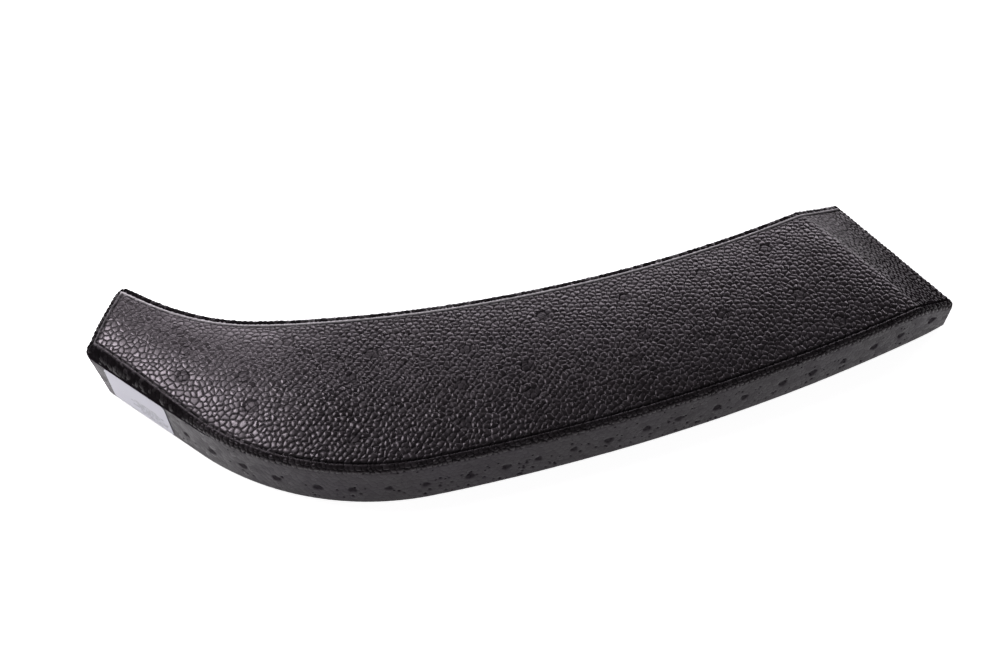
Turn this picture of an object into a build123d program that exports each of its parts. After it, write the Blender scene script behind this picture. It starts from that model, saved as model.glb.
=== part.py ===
from build123d import *
import os
from math import cos, radians, sin

# One moulded bead-foam pad with a paper label stuck on its side wall.
# Millimetres, +Z up. The origin is under the middle of the pad's bounding box, on the
# flat underside. The pad is a curved, tapering slab: the long outer wall bulges towards
# -Y, the shorter inner wall is hollow towards +Y, and the narrow end is at -X.

os.makedirs("parts", exist_ok=True)

# ---- plan outline ----
OUTER_START = (-281.8, -29.6)  # narrow end, outer corner
OUTER_STRAIGHT = 89  # flat stretch that carries the label
OUTER_HEADING = -35  # degrees from +X
BEND_RADIUS = 186
BEND_ANGLE = 48
OUTER_SWEEP_RADIUS = 1380
OUTER_SWEEP_ANGLE = 15.3
INNER_START = (-269.9, 24.2)  # narrow end, inner corner
INNER_STRAIGHT = 22.6
INNER_HEADING = -25
HOLLOW_RADIUS = 150
HOLLOW_ANGLE = 28
INNER_SWEEP_RADIUS = 915
INNER_SWEEP_ANGLE = 26.2
OUTER_CORNER_RADIUS = 5
INNER_CORNER_RADIUS = 5
END_DRAFT = 10  # degrees; the narrow end wall leans out towards its top
END_DRAFT_HEIGHT = 42  # the height where it reaches the outline above

# ---- top face ----
BLANK_HEIGHT = 60
# Stations along X: how high the outer and inner edges are, and how far the middle of the
# crown stands above the line between them. The outline says where the edges lie.
STATIONS = (
    # x, outer z, inner z, crown
    (-287, 45, 43, 2),
    (-202, 41, 35, 7),
    (-107, 40, 32, 7),
    (3, 39, 31, 7),
    (123, 38, 29.5, 7),
    (208, 37, 28.5, 5),
    (293, 36, 27, 3),
)
CROWN_MARGIN = 0.15  # the crown runs past both edges by this share of the width

# ---- wide end ----
CREASE_OUTER = (254.7, 7.4, 36)
CREASE_INNER = (183.2, 103.1, 28.5)
BEVEL_SLOPE = 18.5  # degrees below level, beyond the crease
BEVEL_CROWN = 2  # how far the middle of the bevel stands above its two sides
BEVEL_LENGTH = 70

# ---- edges ----
TOP_NORMAL = 0.7  # a face counts as part of the top if its normal rises more than this
SHOULDER_RADIUS = 4  # rounded band between the top face and the walls
FOOT_RADIUS = 2.5

# ---- steam-vent marks in the outer wall ----
VENT_DIAMETER = 6
VENT_DEPTH = 0.4
VENT_HEIGHT = 17.5
VENT_FIRST = 79  # along the wall from the narrow end
VENT_PITCH = 23.4
VENT_COUNT = 23

# ---- label ----
LABEL_LENGTH = 52
LABEL_HEIGHT = 33
LABEL_THICKNESS = 0.25
LABEL_CORNER_RADIUS = 2.5
LABEL_FROM_CORNER = 14
LABEL_FROM_FLOOR = 2.8


def edge_y(wall, x):
    """Y of a wall line at x. The line runs on straight past its ends."""
    for end, side in ((0, -1), (1, 1)):
        tip, run = wall.position_at(end), wall.tangent_at(end)
        if (x - tip.X) * side > 0:
            return tip.Y + (x - tip.X) * run.Y / run.X
    low, high = 0, 1
    for _ in range(40):
        middle = (low + high) / 2
        if wall.position_at(middle).X < x:
            low = middle
        else:
            high = middle
    return wall.position_at(low).Y


# ==== foam pad ====
with BuildPart() as foam_pad:
    with BuildSketch(Plane.XY) as outline:
        with BuildLine():
            outer_flat = PolarLine(OUTER_START, OUTER_STRAIGHT, OUTER_HEADING)
            bend = JernArc(outer_flat @ 1, outer_flat % 1, BEND_RADIUS, BEND_ANGLE)
            outer_sweep = JernArc(bend @ 1, bend % 1, OUTER_SWEEP_RADIUS, OUTER_SWEEP_ANGLE)
            inner_flat = PolarLine(INNER_START, INNER_STRAIGHT, INNER_HEADING)
            hollow = JernArc(inner_flat @ 1, inner_flat % 1, HOLLOW_RADIUS, HOLLOW_ANGLE)
            inner_sweep = JernArc(hollow @ 1, hollow % 1, INNER_SWEEP_RADIUS, INNER_SWEEP_ANGLE)
            Line(outer_sweep @ 1, inner_sweep @ 1)
            Line(INNER_START, OUTER_START)
        make_face()
        by_end = outline.vertices().sort_by(Axis.X)
        fillet([by_end[0], by_end[-1]], OUTER_CORNER_RADIUS)
        inner_corners = outline.vertices().sort_by_distance(inner_sweep @ 1)[0:1]
        inner_corners += outline.vertices().sort_by_distance(inner_flat @ 0)[0:1]
        fillet(inner_corners, INNER_CORNER_RADIUS)
    extrude(amount=BLANK_HEIGHT)

    # Cross-sections across the pad, lofted into the crowned top and cut to the outline.
    outer_wall = Wire([outer_flat, bend, outer_sweep])
    inner_wall = Wire([inner_flat, hollow, inner_sweep])
    for x, outer_z, inner_z, crown in STATIONS:
        outer_y, inner_y = edge_y(outer_wall, x), edge_y(inner_wall, x)
        with BuildSketch(Plane(origin=(x, 0, 0), x_dir=(0, 1, 0), z_dir=(1, 0, 0))):
            with BuildLine():
                run = CROWN_MARGIN * (inner_y - outer_y)
                lean = CROWN_MARGIN * (inner_z - outer_z)
                sink = 4 * crown * CROWN_MARGIN * (1 + CROWN_MARGIN)
                low = (outer_y - run, outer_z - lean - sink)
                middle = ((outer_y + inner_y) / 2, (outer_z + inner_z) / 2 + crown)
                high = (inner_y + run, inner_z + lean - sink)
                ThreePointArc(low, middle, high)
                Polyline(high, (high[0], -1), (low[0], -1), low)
            make_face()
    loft(mode=Mode.INTERSECT)

    # The bevel runs from the crease down to the wide end, crowned like the top.
    crease = Vector(CREASE_INNER) - Vector(CREASE_OUTER)
    downhill = Vector(crease.Y, -crease.X, 0).normalized()
    fall = downhill * cos(radians(BEVEL_SLOPE)) - Vector(0, 0, sin(radians(BEVEL_SLOPE)))
    side_on = Plane(origin=CREASE_OUTER, x_dir=crease, z_dir=fall)
    rise = 1 if side_on.y_dir.Z > 0 else -1  # which way is up in the sketch
    with BuildSketch(side_on):
        with BuildLine():
            span = crease.length
            past = CROWN_MARGIN * span
            sink = 4 * BEVEL_CROWN * CROWN_MARGIN * (1 + CROWN_MARGIN)
            low, high = (-past, -sink * rise), (span + past, -sink * rise)
            ThreePointArc(low, (span / 2, BEVEL_CROWN * rise), high)
            Polyline(high, (high[0], BLANK_HEIGHT * rise), (low[0], BLANK_HEIGHT * rise), low)
        make_face()
    extrude(amount=BEVEL_LENGTH, both=True, mode=Mode.SUBTRACT)

    # The shoulder follows every edge where a wall meets the top.
    tops = foam_pad.faces().filter_by(lambda f: f.normal_at(f.center()).Z > TOP_NORMAL)
    crown_edges, bevel_edges = [face.edges() for face in tops.sort_by(SortBy.AREA)[::-1]]
    crease_edge = [e for e in crown_edges if any(e.is_same(b) for b in bevel_edges)][0]
    shoulder = [e for e in crown_edges + bevel_edges if not e.is_same(crease_edge)]
    fillet(shoulder, SHOULDER_RADIUS)

    # The narrow end wall leans inwards on its way down.
    end_run = Vector(INNER_START) - Vector(OUTER_START)
    inwards = Vector(end_run.Y, -end_run.X, 0).normalized()
    lean = Vector(0, 0, 1) * cos(radians(END_DRAFT)) - inwards * sin(radians(END_DRAFT))
    end_wall = Plane(
        origin=Vector(OUTER_START) + Vector(0, 0, END_DRAFT_HEIGHT),
        x_dir=end_run,
        z_dir=end_run.cross(lean),
    )
    kept = Keep.TOP if end_wall.z_dir.dot(inwards) > 0 else Keep.BOTTOM
    split(bisect_by=end_wall, keep=kept)
    fillet(foam_pad.edges().group_by(Axis.Z)[0], FOOT_RADIUS)

    # Shallow round marks left by the mould's steam vents.
    for number in range(VENT_COUNT):
        along = VENT_FIRST + number * VENT_PITCH
        spot = outer_wall.position_at(along, PositionMode.LENGTH) + (0, 0, VENT_HEIGHT)
        run = outer_wall.tangent_at(along, PositionMode.LENGTH)
        with Locations(Plane(origin=spot, x_dir=run, z_dir=run.cross(Vector(0, 0, 1)))):
            Cylinder(VENT_DIAMETER / 2, 2 * VENT_DEPTH, mode=Mode.SUBTRACT)

foam_pad.part.label = "foam_pad"
export_step(foam_pad.part, "parts/foam_pad.step")

# ==== label ====
wall_run = outer_flat % 0
wall_face = Plane(
    origin=outer_flat.position_at(LABEL_FROM_CORNER + LABEL_LENGTH / 2, PositionMode.LENGTH)
    + (0, 0, LABEL_FROM_FLOOR + LABEL_HEIGHT / 2),
    x_dir=wall_run,
    z_dir=wall_run.cross(Vector(0, 0, 1)),
)
with BuildPart() as label:
    with BuildSketch(wall_face):
        RectangleRounded(LABEL_LENGTH, LABEL_HEIGHT, LABEL_CORNER_RADIUS)
    extrude(amount=LABEL_THICKNESS)

label.part.label = "label"
export_step(label.part, "parts/label.step")
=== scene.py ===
import bpy
import math
import numpy as np
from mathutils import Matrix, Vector
from mathutils.geometry import delaunay_2d_cdt


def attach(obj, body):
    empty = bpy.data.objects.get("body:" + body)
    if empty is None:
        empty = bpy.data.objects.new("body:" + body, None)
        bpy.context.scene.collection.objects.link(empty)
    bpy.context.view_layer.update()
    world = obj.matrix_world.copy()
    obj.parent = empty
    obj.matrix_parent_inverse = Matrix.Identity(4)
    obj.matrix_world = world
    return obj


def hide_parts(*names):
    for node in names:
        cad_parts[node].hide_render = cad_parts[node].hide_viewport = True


# A moulded bead-foam pad with a paper label. Lengths in the mesh code are millimetres,
# turned into metres when a mesh is made. +Z is up, and the long outer wall faces -Y.

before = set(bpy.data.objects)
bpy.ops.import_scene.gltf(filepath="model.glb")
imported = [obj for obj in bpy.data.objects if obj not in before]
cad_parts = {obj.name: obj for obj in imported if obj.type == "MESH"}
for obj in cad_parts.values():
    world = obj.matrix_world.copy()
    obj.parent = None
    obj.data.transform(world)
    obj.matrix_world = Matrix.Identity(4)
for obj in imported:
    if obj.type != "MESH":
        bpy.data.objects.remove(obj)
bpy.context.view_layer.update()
MM = 0.001

# ---------------------------------------------------------------- outline, as in the CAD
OUTER_START, OUTER_HEADING = (-281.8, -29.6), -35
OUTER_RUNS = ((89, None), (math.radians(48) * 186, 186), (math.radians(15.3) * 1380, 1380))
INNER_START, INNER_HEADING = (-269.9, 24.2), -25
INNER_RUNS = ((22.6, None), (math.radians(28) * 150, 150), (math.radians(26.2) * 915, 915))
STATIONS = np.array((
    # x, outer z, inner z, crown; the outline says where the edges lie
    (-287, 45, 43, 2),
    (-202, 41, 35, 7),
    (-107, 40, 32, 7),
    (3, 39, 31, 7),
    (123, 38, 29.5, 7),
    (208, 37, 28.5, 5),
    (293, 36, 27, 3),
), float)
CREASE_OUTER = np.array((254.7, 7.4))
CREASE_INNER = np.array((183.2, 103.1))
BEVEL_SLOPE = math.tan(math.radians(18.5))
CREASE_SOFT = 1.6  # the bevel comes in over about this width, mm
END_DRAFT = math.tan(math.radians(10))  # the narrow end wall leans out towards its top
END_DRAFT_HEIGHT = 42.0

ALONG = 880  # columns of the top face
ACROSS = 156  # rows of the top face


def trace(start, heading, runs, step=0.5):
    """Points, unit tangents and arc lengths along straights and arcs that join smoothly."""
    x, y = start
    turn = math.radians(heading)
    points, headings = [(x, y)], [turn]
    for length, radius in runs:
        count = int(round(length / step))
        ds = length / count
        bend = ds / radius if radius else 0.0
        for _ in range(count):
            x += ds * math.cos(turn + bend / 2)
            y += ds * math.sin(turn + bend / 2)
            turn += bend
            points.append((x, y))
            headings.append(turn)
    points, headings = np.array(points), np.array(headings)
    tangents = np.stack([np.cos(headings), np.sin(headings)], 1)
    gaps = np.linalg.norm(np.diff(points, axis=0), axis=1)
    return points, tangents, np.concatenate([[0], np.cumsum(gaps)])


def smooth(low, high, value):
    t = np.clip((value - low) / (high - low), 0, 1)
    return t * t * (3 - 2 * t)


def bump(value, centre, width):
    return np.exp(-(((value - centre) / width) ** 2))


def between(ends, share):
    return ends[0] + (ends[1] - ends[0]) * share


# ---------------------------------------------------------------- cell patterns
class Beads:
    """Polygon cells like those of moulded beads: nearest points of a jittered hex lattice."""

    def __init__(self, pitch, seed, jitter=0.33, size=512):
        self.pitch, self.size = pitch, size
        rng = np.random.default_rng(seed)
        self.jitter = rng.uniform(-jitter, jitter, (size, size, 2))
        self.random = rng.uniform(-1, 1, (size, size, 5))
        self.rise = math.sqrt(3) / 2

    def point(self, column, row):
        c, r = column % self.size, row % self.size
        x = (column + 0.5 * (row % 2) + self.jitter[r, c, 0]) * self.pitch
        y = (row + self.jitter[r, c, 1]) * self.pitch * self.rise
        return np.stack([x, y], -1)

    def at(self, places):
        """Distance to the cell's edge, offset from its middle and its random numbers, at each place."""
        row0 = np.floor(places[:, 1] / (self.pitch * self.rise)).astype(int)
        best = np.full(len(places), np.inf)
        middle = np.zeros_like(places)
        cell = np.zeros((len(places), 2), int)
        around = []
        for dr in range(-2, 4):
            row = row0 + dr
            column0 = np.floor(places[:, 0] / self.pitch - 0.5 * (row % 2)).astype(int)
            for dc in range(-2, 4):
                p = self.point(column0 + dc, row)
                around.append(p)
                d = ((p - places) ** 2).sum(1)
                nearer = d < best
                best = np.where(nearer, d, best)
                middle[nearer] = p[nearer]
                cell[nearer] = np.stack([column0 + dc, row], 1)[nearer]
        edge = np.full(len(places), np.inf)
        for p in around:
            gap = p - middle
            length = np.linalg.norm(gap, axis=1)
            other = length > 1e-6
            length = np.where(other, length, 1)
            distance = ((0.5 * (p + middle) - places) * gap).sum(1) / length
            edge = np.where(other, np.minimum(edge, distance), edge)
        numbers = self.random[cell[:, 1] % self.size, cell[:, 0] % self.size]
        return edge, places - middle, numbers


class Noise:
    """Smooth seeded noise from -1 to 1."""

    def __init__(self, seed, size=256):
        self.grid = np.random.default_rng(seed).uniform(-1, 1, (size, size))
        self.size = size

    def at(self, places, scale):
        p = places / scale
        i = np.floor(p).astype(int)
        f = p - i
        f = f * f * (3 - 2 * f)
        x0, y0 = i[:, 0] % self.size, i[:, 1] % self.size
        x1, y1 = (x0 + 1) % self.size, (y0 + 1) % self.size
        a = self.grid[y0, x0] * (1 - f[:, 0]) + self.grid[y0, x1] * f[:, 0]
        b = self.grid[y1, x0] * (1 - f[:, 0]) + self.grid[y1, x1] * f[:, 0]
        return a * (1 - f[:, 1]) + b * f[:, 1]


# ---------------------------------------------------------------- top face
def edge_y(points, tangents, x):
    """Y of a wall line at x. The line runs on straight past its ends."""
    slope = tangents[:, 1] / tangents[:, 0]
    y = np.interp(x, points[:, 0], points[:, 1])
    y = np.where(x < points[0, 0], points[0, 1] + (x - points[0, 0]) * slope[0], y)
    return np.where(x > points[-1, 0], points[-1, 1] + (x - points[-1, 0]) * slope[-1], y)


def station(x, values):
    """A value at x, on a smooth curve through its values at the stations."""
    xs = STATIONS[:, 0]
    slopes = np.gradient(values, xs)
    i = np.clip(np.searchsorted(xs, x) - 1, 0, len(xs) - 2)
    h = xs[i + 1] - xs[i]
    t = np.clip((x - xs[i]) / h, 0, 1)
    return (
        (1 + 2 * t) * (1 - t) ** 2 * values[i]
        + t * (1 - t) ** 2 * h * slopes[i]
        + t * t * (3 - 2 * t) * values[i + 1]
        + t * t * (t - 1) * h * slopes[i + 1]
    )


def past_crease(places):
    """How far a place lies beyond the crease, towards the wide end."""
    run = CREASE_INNER - CREASE_OUTER
    run = run / np.linalg.norm(run)
    offset = places - CREASE_OUTER
    return offset[:, 0] * run[1] - offset[:, 1] * run[0]


def top_height(places):
    """Height of the crowned top face, with its bevel at the wide end."""
    x, y = places[:, 0], places[:, 1]
    low, high = station(x, STATION_OUTER_Y), station(x, STATION_INNER_Y)
    v = (y - low) / (high - low)
    beyond = past_crease(places)
    arch = 4 * station(x, STATIONS[:, 3]) * v * (1 - v) * smooth(32, -20, beyond)
    crown = station(x, STATIONS[:, 1]) * (1 - v) + station(x, STATIONS[:, 2]) * v + arch
    return crown - BEVEL_SLOPE * 0.5 * (beyond + np.sqrt(beyond**2 + CREASE_SOFT**2))


# ---------------------------------------------------------------- rim and walls
outer, outer_run, outer_s = trace(OUTER_START, OUTER_HEADING, OUTER_RUNS)
inner, inner_run, inner_s = trace(INNER_START, INNER_HEADING, INNER_RUNS)
STATION_OUTER_Y = edge_y(outer, outer_run, STATIONS[:, 0])
STATION_INNER_Y = edge_y(inner, inner_run, STATIONS[:, 0])


def left_of(tangents):
    return np.stack([-tangents[:, 1], tangents[:, 0]], 1)


outer_in = left_of(outer_run)
inner_in = -left_of(inner_run)
narrow = inner[0] - outer[0]
narrow_in = np.array([narrow[1], -narrow[0]]) / np.linalg.norm(narrow)
wide = inner[-1] - outer[-1]
wide_in = np.array([-wide[1], wide[0]]) / np.linalg.norm(wide)

# How far the rim line lies inside each wall, and how far the shoulder drops to it.
outer_inset = 3.6 + 3.2 * smooth(120, 10, outer_s)
outer_drop = 4.5 + 3.5 * smooth(120, 10, outer_s)
inner_inset = np.full(len(inner_s), 5.0)
inner_drop = np.full(len(inner_s), 2.6)
NARROW_INSET, NARROW_DROP = 4.5, 4.0
WIDE_INSET, WIDE_DROP = 2.0, 2.0

outer_rim = outer + outer_in * outer_inset[:, None]
inner_rim = inner + inner_in * inner_inset[:, None]


def rim_span(rim, s):
    """Arc lengths at which a rim line meets the two end rims."""
    from_narrow = (rim - outer[0]) @ narrow_in - NARROW_INSET
    from_wide = (rim - outer[-1]) @ wide_in - WIDE_INSET
    inside = np.where((from_narrow >= 0) & (from_wide >= 0))[0]
    return s[inside[0]], s[inside[-1]]


def spread(count, fine, length):
    """Even steps from 0 to 1 with extra fine ones, in mm, near both ends."""
    near = np.array(fine) / length
    even = np.linspace(near[-1], 1 - near[-1], count - 2 * len(fine) + 2)
    return np.concatenate([near[:-1], even, 1 - near[:-1][::-1]])


FINE = (0, 0.35, 0.7, 1.1, 1.6, 2.2)
us = spread(ALONG, FINE, 600)
vs = spread(ACROSS, FINE, 105)
o0, o1 = rim_span(outer_rim, outer_s)
i0, i1 = rim_span(inner_rim, inner_s)
s_out = o0 + (o1 - o0) * us
s_in = i0 + (i1 - i0) * us


def along(values, s, at):
    return np.stack([np.interp(at, s, values[:, k]) for k in range(values.shape[1])], 1)


ro, ri = along(outer_rim, outer_s, s_out), along(inner_rim, inner_s, s_in)
grid = ro[:, None, :] * (1 - vs)[None, :, None] + ri[:, None, :] * vs[None, :, None]
flat = grid.reshape(-1, 2)

# Distances from each top point to the four rims, for the flash line.
width = np.linalg.norm(ri - ro, axis=1)[:, None]
to_outer = (width * vs[None, :]).ravel()
to_inner = (width * (1 - vs)[None, :]).ravel()
to_narrow = (flat - outer[0]) @ narrow_in - NARROW_INSET
to_wide = (flat - outer[-1]) @ wide_in - WIDE_INSET

# ---------------------------------------------------------------- top relief
BEAD_PITCH, STREAK_PITCH = 4.0, 2.4
GROOVE_WIDTH, DOME_WIDTH = 0.5, 1.2
GROOVE_DEPTH = (0.19, 0.34)  # at the flat narrow end, and where the beads are round
DOME_HEIGHT = (0.05, 0.24)
TILT = (0.045, 0.075)
BEAD_STEP = 0.08  # how far neighbouring beads differ in height
STREAK_DEPTH, STREAK_STEP = 0.30, 0.12
RIDGE_HEIGHT, RIDGE_PLACE, RIDGE_WIDTH = 0.45, 0.2, 0.45  # flash line along the rim
RIM_GROOVE_DEPTH, RIM_GROOVE_PLACE, RIM_GROOVE_WIDTH = 0.55, 1.5, 0.7
RING_DEPTH, RING_WIDTH, DISC_DEPTH = 0.50, 0.75, 0.25

beads = Beads(BEAD_PITCH, 11, jitter=0.38)
fine_beads = Beads(STREAK_PITCH, 12, jitter=0.48)
noise = Noise(5)
warp = np.stack([noise.at(flat + 300, 9), noise.at(flat + 700, 9)], 1) * 0.9
edge, offset, number = beads.at(flat + warp)
beyond = past_crease(flat)
on_bevel = smooth(-1, 2.5, beyond)

# Round marks of the steam vents in the top half of the mould, in uneven rows.
TOP_VENT_COLUMNS, TOP_VENT_ROWS = 8, 3
vent_rng = np.random.default_rng(41)
top_vents = []
for along_share in np.linspace(0.09, 0.84, TOP_VENT_COLUMNS):
    for across_share in np.linspace(0.22, 0.74, TOP_VENT_ROWS):
        u = along_share + vent_rng.uniform(-0.03, 0.03)
        v = across_share + vent_rng.uniform(-0.1, 0.1)
        near_point = np.array([np.interp(u, us, ro[:, k]) for k in (0, 1)])
        far_point = np.array([np.interp(u, us, ri[:, k]) for k in (0, 1)])
        spot = near_point * (1 - v) + far_point * v
        top_vents.append((*spot, vent_rng.uniform(3.2, 4.2)))
ring = np.zeros(len(flat))
disc = np.zeros(len(flat))
for x, y, radius in top_vents:
    away = np.hypot(flat[:, 0] - x, flat[:, 1] - y)
    near = away < radius + 3
    ring[near] = np.maximum(ring[near], bump(away[near], radius, RING_WIDTH))
    disc[near] = np.maximum(disc[near], smooth(radius + 0.3, radius - 0.5, away[near]))

groove = bump(edge, 0, GROOVE_WIDTH)
dome = 1 - np.clip(1 - edge / DOME_WIDTH, 0, 1) ** 2
tilt = (offset * number[:, 0:2]).sum(1)
amount = (1 - 0.85 * on_bevel) * (1 - 0.85 * disc)
# The beads are flatter at the narrow end and rounder from there on.
rounder = smooth(-200, -100, flat[:, 0])
relief = between(DOME_HEIGHT, rounder) * dome - between(GROOVE_DEPTH, rounder) * groove
relief += between(TILT, rounder) * tilt + BEAD_STEP * number[:, 2]
relief *= amount
crease_run = (CREASE_INNER - CREASE_OUTER) / np.linalg.norm(CREASE_INNER - CREASE_OUTER)
streak_places = np.stack([(flat @ crease_run) * 0.55, beyond * 1.05], 1) + 400
streak_edge, _, streak_number = fine_beads.at(streak_places)
relief += on_bevel * (STREAK_STEP * streak_number[:, 2] - STREAK_DEPTH * bump(streak_edge, 0, 0.45))
relief += 0.22 * noise.at(flat, 21) + 0.12 * noise.at(flat + 50, 8)
relief -= RING_DEPTH * ring + DISC_DEPTH * disc

rim_gap = np.minimum(np.minimum(to_outer, to_inner), to_narrow)
calm = smooth(0.4, 3.5, np.minimum(rim_gap, to_wide))
relief *= calm
in_rim_groove = bump(rim_gap, RIM_GROOVE_PLACE, RIM_GROOVE_WIDTH)
relief += RIDGE_HEIGHT * bump(rim_gap, RIDGE_PLACE, RIDGE_WIDTH) - RIM_GROOVE_DEPTH * in_rim_groove
top_z = top_height(flat) + relief
top = np.column_stack([flat, top_z])

# ---------------------------------------------------------------- skirt round the top
# The rim loop runs along the outer rim, up the wide end, back along the inner rim and
# down the narrow end. Each corner has a fan of extra columns from its one rim vertex.
NU, NV = len(us), len(vs)
index = np.arange(NU * NV).reshape(NU, NV)
FAN = 8


outward_o = -along(outer_in, outer_s, s_out)
inset_o = np.interp(s_out, outer_s, outer_inset)
drop_o = np.interp(s_out, outer_s, outer_drop)
outward_i = -along(inner_in, inner_s, s_in)
inset_i = np.interp(s_in, inner_s, inner_inset)
drop_i = np.interp(s_in, inner_s, inner_drop)
FOOT, HEEL = 1.8, 3.5
foot_o = FOOT + (HEEL - FOOT) * smooth(o1 - 14, o1, s_out)
foot_i = FOOT + (HEEL - FOOT) * smooth(i1 - 14, i1, s_in)


def side(indices, outward, inset, drop, foot):
    return dict(rim=np.asarray(indices), out=outward * inset[:, None], drop=drop, foot=foot)


def end_side(indices, inward, inset, drop, foot):
    """A side whose wall is flat, so every column has the same measures."""
    ones = np.ones(NV)
    return side(indices, np.repeat(-inward[None, :], NV, 0), inset * ones, drop * ones, foot * ones)


loops = [
    side(index[:, 0], outward_o, inset_o, drop_o, foot_o),
    end_side(index[-1, :], wide_in, WIDE_INSET, WIDE_DROP, HEEL),
    side(index[::-1, -1], outward_i[::-1], inset_i[::-1], drop_i[::-1], foot_i[::-1]),
    end_side(index[0, ::-1], narrow_in, NARROW_INSET, NARROW_DROP, FOOT),
]
rim_of, out_vec, drop_of, foot_of = [], [], [], []
for k, this in enumerate(loops):
    following = loops[(k + 1) % 4]
    rim_of.append(this["rim"])
    out_vec.append(this["out"])
    drop_of.append(this["drop"])
    foot_of.append(this["foot"])
    turn = np.linspace(0, math.pi / 2, FAN + 2)[1:-1]
    fan = this["out"][-1] * np.cos(turn)[:, None] + following["out"][0] * np.sin(turn)[:, None]
    rim_of.append(np.full(FAN, this["rim"][-1]))
    out_vec.append(fan)
    share = turn / (math.pi / 2)
    drop_of.append(this["drop"][-1] * (1 - share) + following["drop"][0] * share)
    foot_of.append(this["foot"][-1] * (1 - share) + following["foot"][0] * share)
rim_of = np.concatenate(rim_of)
out_vec = np.concatenate(out_vec)
drop_of = np.concatenate(drop_of)
foot_of = np.concatenate(foot_of)
# Each side begins at the rim vertex where the one before it ended. Both columns stay, as the fan's ends.
rim_points = top[rim_of]
wall_xy = rim_points[:, :2] + out_vec
LOOP = len(rim_of)
nxt = np.roll(np.arange(LOOP), -1)
steps = np.linalg.norm(wall_xy[nxt] - wall_xy, axis=1)
around_s = np.concatenate([[0], np.cumsum(steps)])[:-1]
unit = out_vec / np.linalg.norm(out_vec, axis=1)[:, None]
base_z = top_height(rim_points[:, :2])
wall_top = base_z - drop_of

SHOULDER_ROWS = 9
WALL_ROWS = 30
FOOT_ROWS = 6
rows, row_dirs, row_down, kind = [], [], [], []
for q in np.linspace(0, 1, SHOULDER_ROWS + 1)[1:]:
    a = q * math.pi / 2
    spot = rim_points[:, :2] + out_vec * math.sin(a)
    z = wall_top + drop_of * math.cos(a)
    rows.append(np.column_stack([spot, z]))
    row_dirs.append(np.column_stack([unit * math.sin(a), np.full(LOOP, math.cos(a))]))
    row_down.append(-(1 - q) * 1.4 * drop_of)
    kind.append(np.full(LOOP, 1 - smooth(0.75, 1.0, q)))
for q in np.linspace(0, 1, WALL_ROWS + 1)[1:]:
    z = wall_top * (1 - q) + foot_of * q
    rows.append(np.column_stack([wall_xy, z]))
    row_dirs.append(np.column_stack([unit, np.zeros(LOOP)]))
    row_down.append(wall_top - z)
    kind.append(np.zeros(LOOP))
for q in np.linspace(0, 1, FOOT_ROWS + 1)[1:]:
    a = q * math.pi / 2
    spot = wall_xy - unit * (foot_of * (1 - math.cos(a)))[:, None]
    rows.append(np.column_stack([spot, foot_of * (1 - math.sin(a))]))
    row_dirs.append(np.column_stack([unit * math.cos(a), np.full(LOOP, -math.sin(a))]))
    row_down.append(wall_top - rows[-1][:, 2])
    kind.append(np.zeros(LOOP))
rows, row_dirs = np.array(rows), np.array(row_dirs)
row_down, kind = np.array(row_down), np.array(kind)
ROWS = len(rows)
skirt_st = np.stack([np.repeat(around_s[None, :], ROWS, 0), row_down], -1).reshape(-1, 2)
shoulder_share = kind.ravel()

SHOULDER_PITCH, WALL_PITCH, UNDER_PITCH = 3.4, 4.4, 4.3
side_beads = Beads(SHOULDER_PITCH, 21)
s_edge, s_offset, s_number = side_beads.at(skirt_st + 40)
wall_beads = Beads(WALL_PITCH, 22)
w_edge, w_offset, w_number = wall_beads.at(skirt_st + 90)
s_relief = -0.35 * bump(s_edge, 0, 0.6) + 0.22 * (1 - np.clip(1 - s_edge / 1.7, 0, 1) ** 2) - 0.12
s_relief += 0.12 * s_number[:, 2] + 0.08 * (s_offset * s_number[:, 0:2]).sum(1)
s_relief *= 0.2 + 0.8 * smooth(50, 130, skirt_st[:, 0])
w_relief = -0.05 * bump(w_edge, 0, 0.5) + 0.02 * w_number[:, 2] + 0.10 * noise.at(skirt_st, 24)

# Vent marks along the middle of the outer wall.
VENT_FIRST, VENT_PITCH, VENT_COUNT = 79, 23.4, 23  # along the wall from the narrow end
VENT_HEIGHT, VENT_RADIUS, VENT_DEPTH = 17.5, 3.0, 0.25
wall_s = skirt_st[:, 0] + o0
height = rows[:, :, 2].reshape(-1)
PIT_COUNT = 120
vent = np.zeros(len(skirt_st))
rng = np.random.default_rng(77)
for k in range(VENT_COUNT):
    ds = wall_s - (VENT_FIRST + k * VENT_PITCH + rng.uniform(-2.5, 2.5))
    dz = height - VENT_HEIGHT - rng.uniform(-1.5, 1.5)
    away = np.hypot(ds, dz)
    size = 1 + 0.16 * rng.uniform(-1, 1)
    lobes = 0.12 * np.cos(3 * np.arctan2(dz, ds) + 6 * rng.uniform())
    ragged = VENT_RADIUS * (size + lobes)
    vent = np.maximum(vent, smooth(ragged + 0.5, ragged - 0.8, away))
# Pits over the outer wall, dented here and darkened in the material as painted shade.
for _ in range(PIT_COUNT):
    ds = wall_s - rng.triangular(90, 330, 580)
    dz = height - rng.triangular(3, 6, 31)
    radius = rng.uniform(0.4, 1.1)
    vent = np.maximum(vent, 1.3 * smooth(radius + 0.4, radius - 0.4, np.hypot(ds, dz)))
on_outer = wall_s < np.max(outer_s)
vent = np.where(on_outer, vent, 0)
w_relief -= VENT_DEPTH * vent
skirt_relief = shoulder_share * s_relief + (1 - shoulder_share) * w_relief
skirt = rows.reshape(-1, 3) + row_dirs.reshape(-1, 3) * skirt_relief[:, None]
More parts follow.
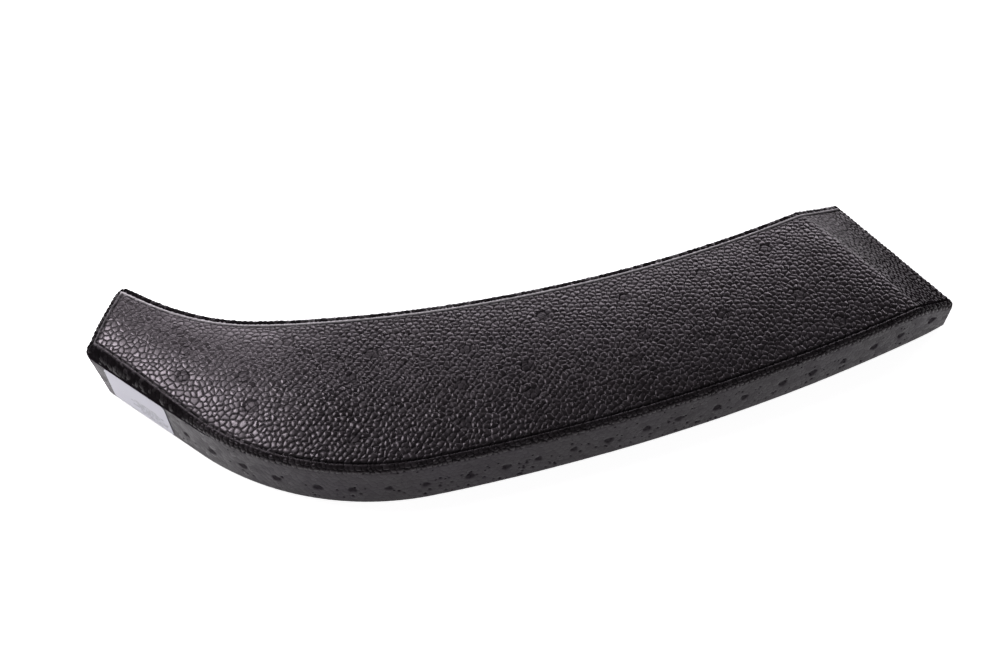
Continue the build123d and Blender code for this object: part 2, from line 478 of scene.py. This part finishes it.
# The narrow end wall leans inwards on its way down.
inside_end = (skirt[:, :2] - outer[0]) @ narrow_in
cut_back = np.maximum(0, END_DRAFT * (END_DRAFT_HEIGHT - skirt[:, 2]) - inside_end)
skirt[:, :2] += cut_back[:, None] * narrow_in
base_row = np.arange(ROWS * LOOP).reshape(ROWS, LOOP)[-1]
skirt[:, 2] = np.maximum(skirt[:, 2], 0.0)
skirt[base_row, 2] = 0.0
skirt_edge = np.where(shoulder_share > 0.5, s_edge, w_edge)
skirt_number = np.where((shoulder_share > 0.5)[:, None], s_number, w_number)

# ---------------------------------------------------------------- underside
bottom_loop = skirt[base_row][:, :2]
STEP = 2.6
WALL_MARGIN, NARROW_MARGIN, WIDE_MARGIN = 5.5, 5.0, 10.0  # kept clear of inside points
low, high = bottom_loop.min(0), bottom_loop.max(0)
gx, gy = np.meshgrid(np.arange(low[0], high[0], STEP), np.arange(low[1], high[1], STEP * 0.87))
gx[1::2] += STEP / 2
inside_points = np.stack([gx.ravel(), gy.ravel()], 1)
outer_y = np.interp(inside_points[:, 0], outer[:, 0], outer[:, 1])
inner_y = np.interp(inside_points[:, 0], inner[:, 0], inner[:, 1])
far_from_walls = inside_points[:, 1] > outer_y + WALL_MARGIN
far_from_walls &= inside_points[:, 1] < inner_y - WALL_MARGIN
far_from_walls &= (inside_points - outer[0]) @ narrow_in > NARROW_MARGIN
far_from_walls &= (inside_points - outer[-1]) @ wide_in > WIDE_MARGIN
inside_points = inside_points[far_from_walls]
loop_distance = np.full(len(inside_points), np.inf)
for p in bottom_loop[::6]:
    loop_distance = np.minimum(loop_distance, np.hypot(*(inside_points - p).T))
inside_points = inside_points[loop_distance > STEP * 0.8]
inputs = [Vector(p) for p in np.vstack([bottom_loop, inside_points])]
edges_in = [(k, (k + 1) % LOOP) for k in range(LOOP)]
found, _, fills, origin, _, _ = delaunay_2d_cdt(inputs, edges_in, [list(range(LOOP))], 1, 1e-5)

# ---------------------------------------------------------------- one closed mesh
vertices = [top, skirt]
first_skirt = len(top)
first_inner = first_skirt + len(skirt)
faces = []
quads = np.stack([index[:-1, :-1], index[1:, :-1], index[1:, 1:], index[:-1, 1:]], -1).reshape(-1, 4)
faces += quads.tolist()
rim_next = rim_of[nxt]
ring0 = first_skirt + np.arange(LOOP)
for k in range(LOOP):
    a, b, c, d = int(rim_of[k]), int(rim_next[k]), int(ring0[nxt[k]]), int(ring0[k])
    faces.append([a, d, c] if a == b else [a, d, c, b])
for r in range(ROWS - 1):
    here, below = ring0 + r * LOOP, ring0 + (r + 1) * LOOP
    faces += np.stack([here, below, below[nxt], here[nxt]], 1).tolist()
extra, lookup = [], {}
last = first_skirt + (ROWS - 1) * LOOP
for k, v in enumerate(found):
    source = [o for o in origin[k] if o < LOOP]
    if source:
        lookup[k] = last + source[0]
    else:
        lookup[k] = first_inner + len(extra)
        extra.append((v.x, v.y, 0.0))
extra = np.array(extra)
under_beads = Beads(UNDER_PITCH, 31)
u_edge, _, u_number = under_beads.at(extra[:, :2] + 500)
extra[:, 2] = 0.25 * bump(u_edge, 0, 1.0)
for face in fills:
    faces.append([lookup[k] for k in face][::-1])
vertices.append(extra)
vertices = np.vstack(vertices)

mesh = bpy.data.meshes.new("foam_body")
mesh.from_pydata((vertices * MM).tolist(), [], faces)
mesh.validate()
mesh.update()
mesh.polygons.foreach_set("use_smooth", np.ones(len(mesh.polygons), bool))


def attribute(name, top_values, skirt_values, under_values):
    values = np.concatenate([top_values, skirt_values, under_values]).astype(np.float32)
    mesh.attributes.new(name, "FLOAT", "POINT").data.foreach_set("value", values)


zeros = np.zeros(len(extra))
top_edge = edge * (1 - on_bevel) + streak_edge * on_bevel
top_number = number * (1 - on_bevel[:, None]) + streak_number * on_bevel[:, None]
attribute("bead_edge", top_edge, skirt_edge, u_edge)
attribute("bead_tone", top_number[:, 3], skirt_number[:, 3], u_number[:, 3])
attribute("bead_gloss", top_number[:, 4], skirt_number[:, 4], u_number[:, 4])
# On top the vent-mark mask follows the ring grooves and the discs; on the outer wall it holds the vent
# marks and the pits.
attribute("vent_mark", np.maximum(2 * ring, 0.5 * disc), vent, zeros)
attribute("glossy_skin", smooth(-110, -190, flat[:, 0]), np.zeros(len(skirt)), zeros)
attribute("wall", np.zeros(len(top)), 1 - shoulder_share, zeros)
down_bevel = np.clip(((CREASE_INNER - flat) @ crease_run) / 120 + beyond / 90, 0, 1)
attribute("bevel", on_bevel, np.zeros(len(skirt)), zeros)
attribute("bevel_dull", on_bevel * (0.2 + 0.8 * down_bevel), np.zeros(len(skirt)), zeros)
# Painted highlight on the raised lip along the rim: strong on the far rim, faint at the narrow end, none
# on the near rim and the wide end.
flash_highlight_share = 0.9 * smooth(4, 1, to_inner) + 0.15 * smooth(4, 1, to_narrow)
flash = bump(rim_gap, RIDGE_PLACE, 0.65) * flash_highlight_share
attribute("flash_highlight", flash, np.zeros(len(skirt)), zeros)
attribute("rim_groove", in_rim_groove, np.zeros(len(skirt)), zeros)
# Painted shade on the rounded shoulder between the top and the walls: full on the far and end sides,
# lighter along most of the outer side, and running onto the wall's top edge above the label.
outer_side = smooth(20, 100, wall_s) * on_outer
by_label = smooth(115, 75, wall_s) * on_outer * smooth(1.6, 0.4, skirt_st[:, 1])
upper = smooth(-3, -7, skirt_st[:, 1]) * smooth(140, 90, wall_s) * on_outer
shoulder_painted_shade = np.maximum(shoulder_share * (1 - 0.55 * outer_side - 0.3 * upper), by_label)
attribute("shoulder", np.zeros(len(top)), shoulder_painted_shade, zeros)
print("foam faces", len(mesh.polygons), "vertices", len(vertices))

foam = bpy.data.objects.new("foam_body", mesh)
bpy.context.collection.objects.link(foam)


# ---------------------------------------------------------------- materials
class Tree:
    """Short calls for building a material's nodes."""

    def __init__(self, name):
        self.material = bpy.data.materials.new(name)
        self.material.use_nodes = True
        self.tree = self.material.node_tree
        self.shader = self.tree.nodes["Principled BSDF"]

    def node(self, kind, **settings):
        made = self.tree.nodes.new(kind)
        for key, value in settings.items():
            setattr(made, key, value)
        return made

    def link(self, source, target):
        self.tree.links.new(source, target)

    def value(self, name):
        return self.node("ShaderNodeAttribute", attribute_name=name).outputs["Fac"]

    def math(self, operation, a, b=None, clamp=False):
        made = self.node("ShaderNodeMath", operation=operation, use_clamp=clamp)
        for socket, given in zip(made.inputs, (a, b)):
            if given is None:
                continue
            if isinstance(given, (int, float)):
                socket.default_value = given
            else:
                self.link(given, socket)
        return made.outputs[0]

    def remap(self, source, low, high, to_low, to_high, smoothed=False):
        kind = "SMOOTHSTEP" if smoothed else "LINEAR"
        made = self.node("ShaderNodeMapRange", interpolation_type=kind)
        self.link(source, made.inputs["Value"])
        ends = {"From Min": low, "From Max": high, "To Min": to_low, "To Max": to_high}
        for key, value in ends.items():
            made.inputs[key].default_value = value
        return made.outputs["Result"]

    def mix(self, factor, a, b):
        made = self.node("ShaderNodeMix", data_type="RGBA")
        self.link(factor, made.inputs["Factor"])
        for socket, given in ((made.inputs[6], a), (made.inputs[7], b)):
            if isinstance(given, tuple):
                socket.default_value = (*given, 1)
            else:
                self.link(given, socket)
        return made.outputs[2]


BEAD_LIGHT, BEAD_DARK = (0.022, 0.0185, 0.0215), (0.009, 0.0075, 0.0085)
BEAD_CLOUD = (0.014, 0.011, 0.0115)  # faint warm patches over the beads
WALL_COLOUR = (0.018, 0.0135, 0.0195)
SEAM_SHADE_COLOUR, RIM_GROOVE_SHADE_COLOUR = (0.003, 0.0028, 0.0032), (0.003, 0.0028, 0.003)
VENT_MARK_AND_SHADE_COLOUR, SHOULDER_SHADE_COLOUR, PIT_SHADE_COLOUR = (0.007, 0.006, 0.007), (0.005, 0.0045, 0.005), (0.004,) * 3
FLASH_HIGHLIGHT_COLOUR = (0.62, 0.60, 0.62)


def foam_material():
    t = Tree("bead_foam_black")
    place = t.node("ShaderNodeTexCoord").outputs["Object"]
    edge_at, tone, gloss = t.value("bead_edge"), t.value("bead_tone"), t.value("bead_gloss")
    wall, bevel, vents = t.value("wall"), t.value("bevel"), t.value("vent_mark")
    flash, rim_groove, shoulder = t.value("flash_highlight"), t.value("rim_groove"), t.value("shoulder")
    grain = t.node("ShaderNodeTexNoise")
    grain.inputs["Scale"].default_value = 900
    grain.inputs["Detail"].default_value = 4
    t.link(place, grain.inputs["Vector"])
    cloud = t.node("ShaderNodeTexNoise")
    cloud.inputs["Scale"].default_value = 28
    cloud.inputs["Detail"].default_value = 3
    t.link(place, cloud.inputs["Vector"])
    # Painted shade in the grooves between beads: the seams are darkened in colour, less on the walls, the
    # bevel and the shoulder.
    seam = t.remap(edge_at, 0.0, 0.55, 1, 0, smoothed=True)
    for part, kept in ((wall, 0.08), (bevel, 0.55), (shoulder, 0.6)):
        seam = t.math("MULTIPLY", seam, t.remap(part, 0, 1, 1, kept))
    bead = t.mix(t.remap(tone, -1, 1, 0, 1), BEAD_DARK, BEAD_LIGHT)
    bead = t.mix(t.remap(wall, 0, 1, 0, 0.85), bead, WALL_COLOUR)
    bead = t.mix(t.remap(cloud.outputs["Fac"], 0.35, 0.7, 0, 0.5), bead, BEAD_CLOUD)
    bead = t.mix(seam, bead, SEAM_SHADE_COLOUR)
    # Painted shade in small pits over the walls: dark spots, with a slight dent in the bump.
    pits = t.node("ShaderNodeTexVoronoi")
    pits.inputs["Scale"].default_value = 150
    t.link(place, pits.inputs["Vector"])
    near_pit = t.remap(pits.outputs["Distance"], 0.07, 0.15, 1, 0, smoothed=True)
    pit = t.math("MULTIPLY", near_pit, wall)
    bead = t.mix(t.math("MULTIPLY", pit, 0.6), bead, PIT_SHADE_COLOUR)
    # Darkens the vent marks; in the top's ring grooves and in the wall's pits this is painted shade.
    bead = t.mix(t.math("MULTIPLY", vents, 0.4), bead, VENT_MARK_AND_SHADE_COLOUR)
    # Painted shade on the shoulder band.
    bead = t.mix(t.math("MULTIPLY", shoulder, 0.6), bead, SHOULDER_SHADE_COLOUR)
    # Painted shade in the groove that runs just inside the rim.
    bead = t.mix(t.math("MULTIPLY", rim_groove, 0.9), bead, RIM_GROOVE_SHADE_COLOUR)
    # Painted highlight on the rim's raised lip.
    bead = t.mix(t.math("MULTIPLY", flash, 0.9, clamp=True), bead, FLASH_HIGHLIGHT_COLOUR)
    t.link(bead, t.shader.inputs["Base Color"])
    glossy = t.value("glossy_skin")
    rough = t.remap(gloss, -1, 1, 0.20, 0.38)
    rough = t.math("ADD", rough, t.math("MULTIPLY", glossy, 0.07))
    rough = t.math("ADD", rough, t.math("MULTIPLY", seam, 0.35))
    rough = t.math("ADD", rough, t.math("MULTIPLY", wall, 0.06))
    rough = t.math("ADD", rough, t.math("MULTIPLY", vents, 0.2), clamp=True)
    t.link(rough, t.shader.inputs["Roughness"])
    rise = t.remap(edge_at, 0, 0.6, 0, 1, smoothed=True)
    height = t.math("MULTIPLY", rise, t.remap(wall, 0, 1, 0.25, 0.06))
    height = t.math("ADD", height, t.math("MULTIPLY", grain.outputs["Fac"], 0.09))
    height = t.math("SUBTRACT", height, t.math("MULTIPLY", pit, 0.15))
    bumps = t.node("ShaderNodeBump")
    bumps.inputs["Distance"].default_value = 0.001
    bumps.inputs["Strength"].default_value = 0.8
    t.link(height, bumps.inputs["Height"])
    t.link(bumps.outputs["Normal"], t.shader.inputs["Normal"])
    shine = t.remap(glossy, 0, 1, 0.39, 0.78)
    for part, loss in (
        (wall, 0.30), (bevel, 0.04), (t.value("bevel_dull"), 0.27), (rim_groove, 0.4),
        (vents, 0.07), (seam, 0.36), (pit, 0.12),
    ):
        shine = t.math("SUBTRACT", shine, t.math("MULTIPLY", part, loss))
    dull = t.math("MULTIPLY", shoulder, t.remap(gloss, -0.2, 0.9, 0.38, 0.12))
    t.link(t.math("SUBTRACT", shine, dull, clamp=True), t.shader.inputs["Specular IOR Level"])
    t.shader.inputs["Specular Tint"].default_value = (1.0, 0.91, 0.98, 1)
    return t.material


def label_material():
    t = Tree("label_paper_white")
    place = t.node("ShaderNodeTexCoord").outputs["Object"]
    fibre = t.node("ShaderNodeTexNoise")
    fibre.inputs["Scale"].default_value = 700
    fibre.inputs["Detail"].default_value = 5
    t.link(place, fibre.inputs["Vector"])
    ink = t.value("print")
    colour = t.mix(t.remap(fibre.outputs["Fac"], 0.3, 0.7, 0, 1), (0.42, 0.42, 0.475), (0.46, 0.46, 0.52))
    colour = t.mix(t.math("MULTIPLY", ink, 0.95), colour, (0.09, 0.09, 0.105))
    t.link(colour, t.shader.inputs["Base Color"])
    t.link(t.remap(fibre.outputs["Fac"], 0.3, 0.7, 0.42, 0.52), t.shader.inputs["Roughness"])
    bumps = t.node("ShaderNodeBump")
    bumps.inputs["Distance"].default_value = 0.0002
    bumps.inputs["Strength"].default_value = 0.25
    t.link(fibre.outputs["Fac"], bumps.inputs["Height"])
    t.link(bumps.outputs["Normal"], t.shader.inputs["Normal"])
    return t.material


foam.data.materials.append(foam_material())
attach(foam, "root")
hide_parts("foam_pad")

# ---------------------------------------------------------------- label
LABEL_LENGTH, LABEL_HEIGHT = 52.0, 33.0
LABEL_FROM_CORNER, LABEL_FROM_FLOOR = 14.0, 2.8
LABEL_RADIUS, LABEL_THICK, LABEL_LIFT = 2.5, 0.2, 0.12
LABEL_WAVE, LABEL_WAVE_LENGTH = 0.05, 17
PRINT_TOP, PRINT_SPACING, PRINT_WIDTH = -1.5, 2.2, 0.62
n_s, n_z = 105, 67
ls = np.linspace(-0.5, 0.5, n_s) * LABEL_LENGTH
lz = np.linspace(-0.5, 0.5, n_z) * LABEL_HEIGHT
S, Z = np.meshgrid(ls, lz, indexing="ij")
# Squeeze the grid's corners onto the rounded outline.
inner_s_half, inner_z_half = LABEL_LENGTH / 2 - LABEL_RADIUS, LABEL_HEIGHT / 2 - LABEL_RADIUS
cx, cz = np.clip(S, -inner_s_half, inner_s_half), np.clip(Z, -inner_z_half, inner_z_half)
dx, dz = S - cx, Z - cz
box_r = np.maximum(np.abs(dx), np.abs(dz))
round_r = np.hypot(dx, dz)
scale = np.where(round_r > 1e-9, box_r / np.maximum(round_r, 1e-9), 1)
S, Z = cx + dx * scale, cz + dz * scale
heading = math.radians(OUTER_HEADING)
run = np.array([math.cos(heading), math.sin(heading)])
out = np.array([run[1], -run[0]])
centre = np.array(OUTER_START) + run * (LABEL_FROM_CORNER + LABEL_LENGTH / 2)
mid_z = LABEL_FROM_FLOOR + LABEL_HEIGHT / 2
label_wave = LABEL_WAVE * noise.at(np.stack([S.ravel(), Z.ravel()], 1) + 90, LABEL_WAVE_LENGTH)


def label_sheet(lift):
    xy = centre + S.ravel()[:, None] * run + out * (lift + label_wave)[:, None]
    return np.column_stack([xy, mid_z + Z.ravel()])


count = n_s * n_z
front, back = label_sheet(LABEL_LIFT + LABEL_THICK), label_sheet(LABEL_LIFT)
grid_i = np.arange(count).reshape(n_s, n_z)
q = np.stack([grid_i[:-1, :-1], grid_i[1:, :-1], grid_i[1:, 1:], grid_i[:-1, 1:]], -1).reshape(-1, 4)
label_faces = q.tolist() + (q[:, ::-1] + count).tolist()
border = np.concatenate([grid_i[:, 0], grid_i[-1, 1:], grid_i[-2::-1, -1], grid_i[0, -2:0:-1]])
for a, b in zip(border, np.roll(border, -1)):
    label_faces.append([int(a), int(a + count), int(b + count), int(b)])
label_mesh = bpy.data.meshes.new("label_sheet")
label_mesh.from_pydata((np.vstack([front, back]) * MM).tolist(), [], label_faces)
label_mesh.validate()
label_mesh.update()
# Plain printed bars that say nothing, in the label's right half.
ink = np.zeros(count)
sx, sz = S.ravel(), Z.ravel()
PRINT_LINES = ((-4, 15), (-8, 20), (-3, 19), (-7, 23), (-1, 22), (0, 17))  # where each starts and ends
for row, (start, end) in enumerate(PRINT_LINES):
    line = bump(sz, PRINT_TOP - PRINT_SPACING * row, PRINT_WIDTH)
    line = line * smooth(start - 0.3, start, sx) * smooth(end + 0.3, end, sx)
    broken = smooth(-0.35, 0.1, noise.at(np.stack([sx * 1.6, sz * 0 + 40 + 9 * row], 1), 1.1))
    ink = np.maximum(ink, line * (0.25 + 0.75 * broken))
label_mesh.attributes.new("print", "FLOAT", "POINT").data.foreach_set(
    "value", np.concatenate([ink, ink]).astype(np.float32)
)
label = bpy.data.objects.new("label_sheet", label_mesh)
bpy.context.collection.objects.link(label)
label.data.materials.append(label_material())
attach(label, "root")
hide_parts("label")


# ---------------------------------------------------------------- floor, lights, camera
def floor():
    bpy.ops.mesh.primitive_plane_add(size=12)
    made = bpy.context.object
    made.name = "studio_floor"
    t = Tree("studio_floor_white")
    t.shader.inputs["Base Color"].default_value = (0.93, 0.93, 0.93, 1)
    t.shader.inputs["Roughness"].default_value = 0.9
    t.shader.inputs["Emission Color"].default_value = (1, 1, 1, 1)
    t.shader.inputs["Emission Strength"].default_value = 0.90
    t.shader.inputs["Specular IOR Level"].default_value = 0.1
    made.data.materials.append(t.material)


def softbox(name, place, target, size, radiance, colour=(1, 1, 1)):
    """An area light that looks this bright, whatever its size."""
    lamp = bpy.data.lights.new(name, "AREA")
    lamp.shape = "RECTANGLE"
    lamp.size, lamp.size_y = size
    lamp.energy = radiance * size[0] * size[1] * math.pi
    lamp.color = colour
    made = bpy.data.objects.new(name, lamp)
    made.location = place
    made.rotation_euler = (Vector(target) - Vector(place)).to_track_quat("-Z", "Y").to_euler()
    bpy.context.collection.objects.link(made)


floor()
softbox("light_back_left", (-0.54, 0.20, 0.66), (-0.20, -0.07, 0.04), (0.34, 0.46), 11.2, (1, 0.96, 1))
softbox("light_back_low", (0.55, 1.80, 0.50), (0.0, 0.0, 0.0), (3.0, 0.6), 6.0, (1, 0.93, 1))
softbox("light_front_left", (-1.3, -1.4, 0.7), (0.0, 0.0, 0.0), (1.2, 0.8), 0.45, (1, 0.9, 1))
softbox("light_front_right", (1.5, -1.5, 0.8), (0.0, 0.0, 0.0), (1.2, 0.8), 0.55, (1, 0.9, 1))

world = bpy.data.worlds.new("studio")
world.use_nodes = True
world.node_tree.nodes["Background"].inputs["Color"].default_value = (1, 1, 1, 1)
world.node_tree.nodes["Background"].inputs["Strength"].default_value = 0.10
scene = bpy.context.scene
scene.world = world
scene.view_settings.view_transform = "Standard"

camera_data = bpy.data.cameras.new("camera")
camera_data.sensor_width = 36
camera_data.lens = 45
camera = bpy.data.objects.new("camera", camera_data)
camera.location = (-0.0197, -0.4725, 0.6953)
camera.rotation_euler = (math.radians(90 - 55), 0, 0)
bpy.context.collection.objects.link(camera)
scene.camera = camera
